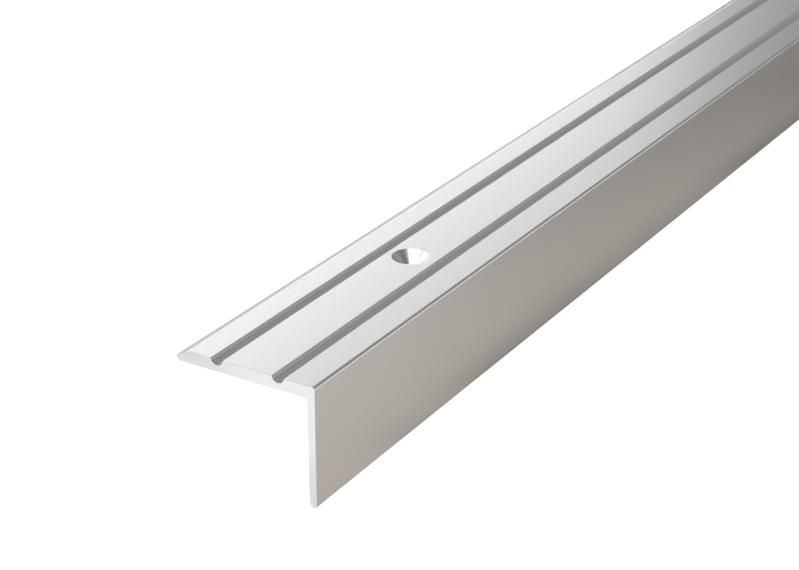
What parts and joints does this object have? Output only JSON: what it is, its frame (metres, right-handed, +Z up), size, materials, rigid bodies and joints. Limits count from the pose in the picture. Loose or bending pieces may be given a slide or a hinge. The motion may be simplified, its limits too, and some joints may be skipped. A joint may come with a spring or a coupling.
{
  "type": "stair nosing",
  "caption": "Anodised aluminium angle for a stair edge: a grooved tread flange with countersunk screw holes and a thinner riser leg with a rounded foot.",
  "frame": {"origin": "centre of the bounding box's underside: the profile lies corner up on its rounded back edge and its rounded foot, as it comes to rest", "axes": "+Y along the profile, +Z up, +X towards the riser leg, whose foot is at the +X side"},
  "size_m": [0.0306, 0.9, 0.0162],
  "materials": {
    "anodised_aluminium": "satin silver anodised"
  },
  "bodies": {
    "root": {"nosing_profile": "anodised_aluminium"}
  },
  "joints": []
}
